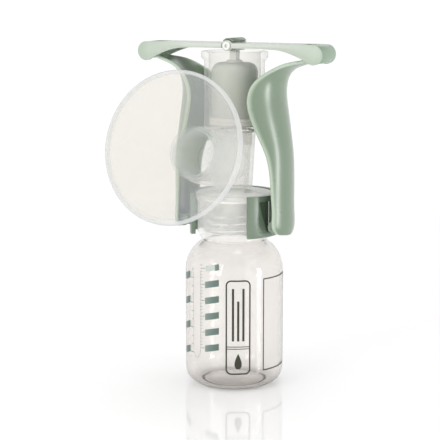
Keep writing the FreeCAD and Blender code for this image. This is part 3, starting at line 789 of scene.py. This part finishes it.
def make_barrel(finish):
    """Clear barrel: lip with a bevel under it, rounded floor corner, spigot and bore."""
    top, base, r = BARREL_TOP, BARREL_BASE, BARREL_R
    profile = rounded([
        (6.72, base - 7.6, 0.3), (9.72, base - 7.6, 0.8), (9.72, base, 0.2), (r, base, 2.0),
        (r, top - 5.6, 1.5), (18.6, top - 3.4, 0.6), (18.6, top, 0.7), (15.6, top, 0.4),
        (14.4, top - 1.4, 0.6), (14.4, base + 2.0, 0.8), (6.72, base + 2.0, 0.3)], 6)
    turned("barrel_shell", denser(profile, 4.0), finish, "stand", ("barrel",), 128)


def make_piston(finish):
    """Hollow piston with a domed shoulder and a seal groove near its foot."""
    low_z, top, r = PISTON_LOW, PISTON_HIGH, PISTON_R
    groove = low_z + 1.0
    profile = rounded([
        (r - 2.4, low_z, 0.2), (r, low_z, 0.3), (r, groove, 0.1), (r - 1, groove, 0.1),
        (r - 1, groove + 3.8, 0.1), (r, groove + 3.8, 0.1), (r, top, 5.0), (0, top, 0), (0, top - 1.8, 0),
        (r - 1.8, top - 1.8, 3.2), (r - 1.8, groove + 6, 0.3), (r - 2.4, groove + 5, 0.3)], 8)
    turned("piston_shell", denser(profile, 4.0), finish, "piston", ("piston",), 128)


def make_collar_thread(finish):
    """Ridge on the collar's inner wall: a five-point section carried along a helix, run out at both ends."""
    root, turns, steps = 18.05, 3.1, 300
    section = np.array([[root, -0.85], [17.35, -0.4], [17.2, 0.0], [17.35, 0.4], [root, 0.85]])
    t = np.linspace(0, TAU * turns, steps)
    z = NECK_BASE + THREAD_RISE + THREAD_PITCH * (t / TAU)
    fade = np.clip(np.minimum(t, t[-1] - t) / 0.5, 0.05, 1)[:, None]
    r = root + (section[None, :, 0] - root) * fade
    spots = np.stack([r * np.cos(t)[:, None], r * np.sin(t)[:, None], z[:, None] + section[None, :, 1]], -1)
    faces = tube_faces(steps, len(section))
    piece = make_piece("collar_thread", spots.reshape(-1, 3), faces, finish, "stand")
    weld(piece)


def make_spring(side, finish):
    """Coil of round wire about the base pin: a circle carried along a helix."""
    wire, radius, pitch, turns, start = 0.35, 2.65, 0.85, 2.6, -5.53
    steps, columns = 160, 10
    t = np.linspace(0, TAU * turns, steps)
    a = np.linspace(0, TAU, columns, endpoint=False)
    r = radius + wire * np.cos(a)[None, :]
    y = start + pitch * (t / TAU)[:, None] + wire * np.sin(a)[None, :]
    x = side * BASE_PIN[0] + r * np.cos(t)[:, None]
    z = BASE_PIN[2] + r * np.sin(t)[:, None]
    word = "right" if side > 0 else "left"
    points = np.stack([x, y, z], -1).reshape(-1, 3)
    piece = make_piece("spring_coil_" + word, points, tube_faces(steps, columns), finish, "stand",
                       ("return_spring_" + word,))
    weld(piece)


def make_pocket(side, front, finish):
    """Recess behind a window of the clip band; its finish is the band's sage painted darker as painted shade.

    Its outer face has radius r(a, z): flush with the band at the window's front edge, then a smooth step
    inwards whose place moves as it goes down. Its inner face lies on the collar.
    """
    middle, half, deep = 17.0, 13.3, 2.9
    z = np.linspace(COLLAR_BOTTOM + 4.9, ROOF_TOP - 2.2, 30)[:, None]
    a = np.linspace(middle + half, middle - half, 44)[None, :]
    up = (z - z.min()) / np.ptp(z)
    start = middle + half - 1.0 - 13.0 * (1 - up**1.2) ** 1.5
    dive = np.clip((start - a) / 7.0, 0, 1)
    dive = dive**2 * (3 - 2 * dive)
    face = high("clip_band")[1] - 0.12 - deep * dive
    turn = np.radians(-a if front else a)
    shells = []
    for r in (face, np.full_like(face, COLLAR_R)):
        shells.append(np.stack([side * r * np.cos(turn), r * np.sin(turn), np.broadcast_to(z, r.shape)], -1))
    points = np.concatenate([shell.reshape(-1, 3) for shell in shells])
    rows, columns = face.shape
    outer = grid_faces(rows, columns)
    inner = grid_faces(rows, columns, start=rows * columns)[:, ::-1]
    ring = np.concatenate([np.arange(columns), np.arange(1, rows) * columns + columns - 1,
                           (rows - 1) * columns + np.arange(columns - 2, -1, -1),
                           np.arange(rows - 2, 0, -1) * columns])
    after = np.roll(ring, -1)
    rim = np.stack([ring, after, after + rows * columns, ring + rows * columns], -1)
    name = ("right" if side > 0 else "left") + ("_front" if front else "_back")
    faces = np.concatenate([outer, inner, rim])
    piece = make_piece("band_pocket_" + name, points, faces, finish, "stand")
    weld(piece)
    crease(piece, 40)


def make_centre_pin(finish):
    """Hinge pin turned about its own axis: a shaft, a head at each end and a blind hole in the front head."""
    end, shaft, head, head_high, columns = high("centre_pin")[1], 1.5, 2.3, 0.72, 48
    profile = rounded([
        (0, -end + 1.3, 0), (0.85, -end + 1.3, 0.1), (0.95, -end, 0.12), (head, -end, 0.25),
        (head, -end + head_high, 0.1), (shaft, -end + head_high, 0.05), (shaft, end - head_high, 0.05),
        (head, end - head_high, 0.1), (head, end, 0.3), (0, end, 0)], 4)
    t = np.linspace(0, TAU, columns, endpoint=False)
    r, y = np.repeat(profile[:, 0:1], columns, 1), np.repeat(profile[:, 1:2], columns, 1)
    points = np.stack([r * np.sin(t), y, HINGE[2] + r * np.cos(t)], -1).reshape(-1, 3)
    faces = grid_faces(len(profile), columns, loop_rows=True, loop_columns=True)
    piece = make_piece("centre_pin_turned", points, faces, finish, "piston", ("centre_pin",))
    weld(piece)
    crease(piece, 40)


# ---------------------------------------------------------------- handles

WAIST_X = BARREL_R + 13.0
# Stations up the handle: shares of the base pin's, the waist's and the link pin's distance from the middle, a
# shift outwards, the share of the height between the pins, and the half width and depth of the crescent.
STATIONS = np.array([
    (1.0, 0.0, 0.0, 6.10, -0.050, 10.8, 3.6), (1.0, 0.0, 0.0, 6.70, -0.015, 12.7, 4.7),
    (1.0, 0.0, 0.0, 6.75, 0.074, 13.0, 5.0), (1.0, 0.0, 0.0, 6.60, 0.170, 13.2, 5.3),
    (0.8, 0.2, 0.0, 6.24, 0.328, 14.0, 6.2), (0.6, 0.4, 0.0, 5.28, 0.447, 15.2, 7.8),
    (0.4, 0.6, 0.0, 3.80, 0.535, 16.9, 9.6), (0.2, 0.8, 0.0, 2.20, 0.620, 18.8, 11.1),
    (0.0, 1.0, 0.0, 0.65, 0.700, 20.0, 12.0), (0.0, 1.0, 0.0, 0.00, 0.773, 19.6, 11.6),
    (0.0, 1.0, 0.0, 0.60, 0.829, 17.5, 8.8), (0.0, 0.85, 0.15, -0.86, 0.875, 14.0, 4.6),
    (0.0, 0.7, 0.3, -0.70, 0.909, 11.8, 2.4), (0.0, 0.4, 0.6, -1.30, 0.934, 9.4, 1.4),
    (0.0, 0.2, 0.8, -2.16, 0.947, 7.4, 0.8), (0.0, 0.0, 1.0, -3.30, 0.965, 6.5, 0.4),
    (0.0, 0.0, 1.0, -0.60, 0.984, 6.5, 0.4)])


def smooth_through(values, spots, wanted):
    """Natural cubic through the values at the spots, read at the wanted places."""
    n = len(spots)
    h = np.diff(spots)
    m = np.zeros((n, n))
    rhs = np.zeros((n, values.shape[1]))
    m[0, 0] = m[-1, -1] = 1
    for i in range(1, n - 1):
        m[i, i - 1:i + 2] = h[i - 1], 2 * (h[i - 1] + h[i]), h[i]
        rhs[i] = 6 * ((values[i + 1] - values[i]) / h[i] - (values[i] - values[i - 1]) / h[i - 1])
    bend = np.linalg.solve(m, rhs)
    k = np.clip(np.searchsorted(spots, wanted) - 1, 0, n - 2)
    a, b = ((spots[k + 1] - wanted) / h[k])[:, None], ((wanted - spots[k]) / h[k])[:, None]
    hk = h[k][:, None]
    return a * values[k] + b * values[k + 1] + ((a**3 - a) * bend[k] + (b**3 - b) * bend[k + 1]) * hk**2 / 6


def handle_shell():
    """Grip shell: a crescent with round edges carried along the handle's centre line.

    The crescent is an arc of the station's half width and depth, its parallel arc one wall inside, and a half
    circle at each edge. Returns points, faces and how near each point is to an edge.
    """
    rows_up, across_n, rim_n, wall, foot = 150, 41, 7, 1.8, 4.0
    reach, length = LINK_PIN[0], LINK_PIN[2] - BASE_PIN[2]
    x = STATIONS[:, 0] * BASE_PIN[0] + STATIONS[:, 1] * WAIST_X + STATIONS[:, 2] * reach + STATIONS[:, 3]
    z = BASE_PIN[2] + STATIONS[:, 4] * length
    table = np.stack([x, z, STATIONS[:, 5], STATIONS[:, 6]], -1)
    steps = np.concatenate([[0], np.cumsum(np.hypot(np.diff(x), np.diff(z)))])
    wanted = np.linspace(0, steps[-1], rows_up)
    rows = smooth_through(table, steps, wanted)
    ahead = np.gradient(rows[:, :2], axis=0)
    ahead /= np.linalg.norm(ahead, axis=1)[:, None]
    outward = np.stack([ahead[:, 1], -ahead[:, 0]], -1)
    foot_round = 1 - np.sqrt(np.clip(1 - (1 - np.clip(wanted / foot, 0, 1)) ** 2, 0, 1))
    half = rows[:, 2] - 2.8 * foot_round
    depth = np.maximum(rows[:, 3], 0.3)
    radius = (half**2 + depth**2) / (2 * depth)
    turn = np.arcsin(np.clip(half / radius, 0, 1))
    across = np.linspace(-1, 1, across_n)
    near_edge = np.clip((np.abs(across) - 0.93) / 0.05, 0, 1)
    rim, ones = np.linspace(0, math.pi, rim_n + 2)[1:-1], np.ones(rim_n)
    loops, nearness = [], []
    sides = ((across, np.zeros(across_n), near_edge), (ones, rim, ones),
             (across[::-1], np.full(across_n, math.pi), near_edge), (-ones, math.pi - rim, ones))
    for sweep, offset, near in sides:
        angle = turn[:, None] * sweep[None, :] * (1 - 0.9 / np.maximum(radius * turn, 1))[:, None]
        level = radius[:, None] - wall / 2 + wall / 2 * np.cos(offset)[None, :]
        lift = wall / 2 * np.sin(offset)[None, :] * np.sign(sweep)[None, :]
        y = level * np.sin(angle) + lift * np.cos(angle)
        back = radius[:, None] - (level * np.cos(angle) - lift * np.sin(angle))
        spot_x = rows[:, 0:1] - outward[:, 0:1] * back
        spot_z = rows[:, 1:2] - outward[:, 1:2] * back
        loops.append(np.stack([spot_x, y, spot_z], -1))
        nearness.append(np.broadcast_to(near, y.shape))
    grid, near = np.concatenate(loops, 1), np.concatenate(nearness, 1)
    n = grid.shape[1]
    faces = grid_faces(rows_up, n, loop_columns=True).tolist()
    first_rim, second_rim = across_n - 1, n - rim_n - 1
    for base, order in ((0, 1), ((rows_up - 1) * n, -1)):
        strip = [[base + i, base + i + 1, base + second_rim - i - 1, base + second_rim - i]
                 for i in range(first_rim)]
        ends = [[base + first_rim + i for i in range(rim_n + 2)],
                [base + second_rim + i for i in range(rim_n + 1)] + [base]]
        faces += [loop[::order] for loop in strip + ends]
    return grid.reshape(-1, 3), faces, near.reshape(-1)


def plate_along_y(rings, columns):
    """Points and faces of closed (x, z) loops set at places along Y, the last loop joined to the first."""
    points = [np.stack([loop[:, 0], np.full(columns, y), loop[:, 1]], -1) for loop, y in rings]
    return np.concatenate(points), grid_faces(len(rings), columns, loop_rows=True, loop_columns=True).tolist()


def boss(y0, y1):
    """Cheek that joins the shell to the base pin: a rounded plate with a pin hole, carried along Y."""
    cx, cz, size, hole_r, rounding, columns = BASE_PIN[0], BASE_PIN[2], 3.5, 1.98, 0.25, 48
    t = np.linspace(0, TAU, columns, endpoint=False)
    outer = np.cos(t) > 0
    x = cx + np.where(outer, np.minimum(4.0, size * 1.6 * np.cos(t)), size * np.cos(t))
    z = cz + size * np.clip(np.sin(t) * np.where(outer, 1.25, 1.0), -1, 1)
    hole = np.stack([cx + hole_r * np.cos(t), cz + hole_r * np.sin(t)], -1)
    edge = np.stack([x, z], -1)
    small = edge.mean(0) + (edge - edge.mean(0)) * 0.94
    return plate_along_y([(hole, y0), (small, y0), (edge, y0 + rounding), (edge, y1 - rounding), (small, y1),
                          (hole, y1)], columns)


def eye_barrel():
    """Tube at the top of the handle that the link pin passes through."""
    t = np.linspace(0, TAU, 40, endpoint=False)
    around_pin = np.stack([np.cos(t), np.sin(t)], -1)
    rings = [(1.2, -6.4), (1.8, -6.5), (2.0, -6.3), (2.0, 6.3), (1.8, 6.5), (1.2, 6.4)]
    return plate_along_y([(LINK_PIN[[0, 2]] + r * around_pin, y) for r, y in rings], len(t))


def make_handles(finish):
    """Both handles; the left one is the right one mirrored in the YZ plane."""
    shell, shell_faces, near = handle_shell()
    bits = [(shell, shell_faces), boss(6.5, 8.5), boss(-8.5, -6.5), eye_barrel()]
    points, faces = gather(bits)
    edge = np.concatenate([near, np.zeros(len(points) - len(near))])
    for side, word in ((1, "right"), (-1, "left")):
        piece = make_piece("handle_grip_" + word, points * [side, 1, 1], faces, finish, "handle_" + word,
                           ("handle_" + word,))
        mark_points(piece, "edge", edge)
        weld(piece)
        crease(piece, 45)


# ---------------------------------------------------------------- floor


def make_floor(finish):
    """Pale disc just under the bottle: rings of (r cos t, r sin t) at one height."""
    rings, columns, drop = 25, 96, 0.15
    t = np.linspace(0, TAU, columns, endpoint=False)
    r = np.concatenate([[1e-4], np.linspace(30, FLOOR_R, rings - 1)])[:, None]
    points = np.stack([r * np.cos(t), r * np.sin(t), np.full((rings, columns), -drop)], -1).reshape(-1, 3)
    mesh = bpy.data.meshes.new("floor")
    mesh.from_pydata((points * MM).tolist(), [], grid_faces(rings, columns, loop_columns=True).tolist())
    mesh.materials.append(finish)
    floor = bpy.data.objects.new("floor", mesh)
    bpy.context.scene.collection.objects.link(floor)


# ---------------------------------------------------------------- putting it together

make_camera()
make_lights()
make_room()

finishes = {
    "bottle": clear("clear_bottle", 0.07, (0.82, 0.79, 0.76), 140.0, 0.03),
    "body": milky("milky_body", (0.97, 0.975, 0.97), (0.995, 0.99, 0.98), 0.24, 0.36, 0.28, 0.01,
                  collar=True),
    # The thread's haze is painted darker than the body's: painted shade along the ridge.
    "thread": milky("thread_ridge_painted_shade", (0.76, 0.79, 0.79), (0.98, 0.98, 0.98), 0.46, 0.36, 0.30, 0.004),
    "flange": milky("milky_flange", (0.72, 0.76, 0.82), (0.990, 0.965, 0.920), 0.19, 0.45, 0.30, 0.004,
                    funnel=True),
    "barrel": milky("milky_barrel", (0.97, 0.97, 0.96), (0.995, 0.99, 0.98), 0.13, 0.44, 0.22, 0.006),
    "piston": moulded("piston_plastic", (0.50, 0.545, 0.50), 0.4, glow=0.1),
    "rod": moulded("rod_plastic", (0.70, 0.71, 0.68), 0.35),
    # The handles' second colour is painted light on their thin edges.
    "sage": sage_shell("sage_shell", (0.192, 0.262, 0.183), (0.46, 0.56, 0.45)),
    "band": moulded("sage_band", (0.175, 0.235, 0.172), 0.30, coat=0.2),
    # The recess finish is the band's sage painted darker: painted shade inside the pockets.
    "recess": moulded("sage_recess_painted_shade", (0.150, 0.215, 0.145), 0.34, coat=0.1),
    "cap": moulded("sage_cap", (0.15, 0.20, 0.14), 0.28, coat=0.3),
    "arm": arm_plastic("pale_sage_arm"),
    "white": moulded("white_pin", (0.80, 0.81, 0.79), 0.28),
    "silicone": moulded("milky_silicone", (0.80, 0.80, 0.77), 0.45, glow=0.3),
    "teal_ink": ink("teal_ink", (0.100, 0.155, 0.138), 0.32),
    "faint_ink": ink("faint_ink", (0.52, 0.57, 0.54)),
    "olive_ink": ink("olive_ink", (0.035, 0.038, 0.022)),
    "grey_ink": ink("grey_ink", (0.20, 0.21, 0.19)),
    "pale_ink": ink("pale_ink", (0.46, 0.46, 0.43)),
    "wire": wire_finish(),
}

turned("bottle_shell", bottle_profile(), finishes["bottle"], "stand", ("bottle",), 160,
       bottle_swell)
printed_marks()
make_flange(finishes["flange"])
make_barrel(finishes["barrel"])
make_piston(finishes["piston"])
make_collar_thread(finishes["thread"])
make_handles(finishes["sage"])
for direction in (1, -1):
    make_spring(direction, finishes["wire"])
    make_pocket(direction, True, finishes["recess"])
    make_pocket(direction, False, finishes["recess"])

merged_copy("pump_body", finishes["body"], "stand")
merged_copy("clip_band", finishes["band"], "stand", 0.3)
merged_copy("hinge_cap", finishes["cap"], "piston", 0.2)
merged_copy("piston_rod", finishes["rod"], "piston", 0.2)
make_centre_pin(finishes["white"])
for word in ("right", "left"):
    merged_copy("arm_" + word, finishes["arm"], "arm_" + word, 0.45)
    merged_copy("base_pin_" + word, finishes["band"], "stand", 0.2)
    merged_copy("link_pin_" + word, finishes["white"], "handle_" + word, 0.15)
for node, body in (("duckbill_valve", "stand"), ("bottle_gasket", "stand"), ("barrel_gasket", "stand"),
                   ("piston_seal", "piston")):
    merged_copy(node, finishes["silicone"], body, 0.1)
make_floor(floor_finish())
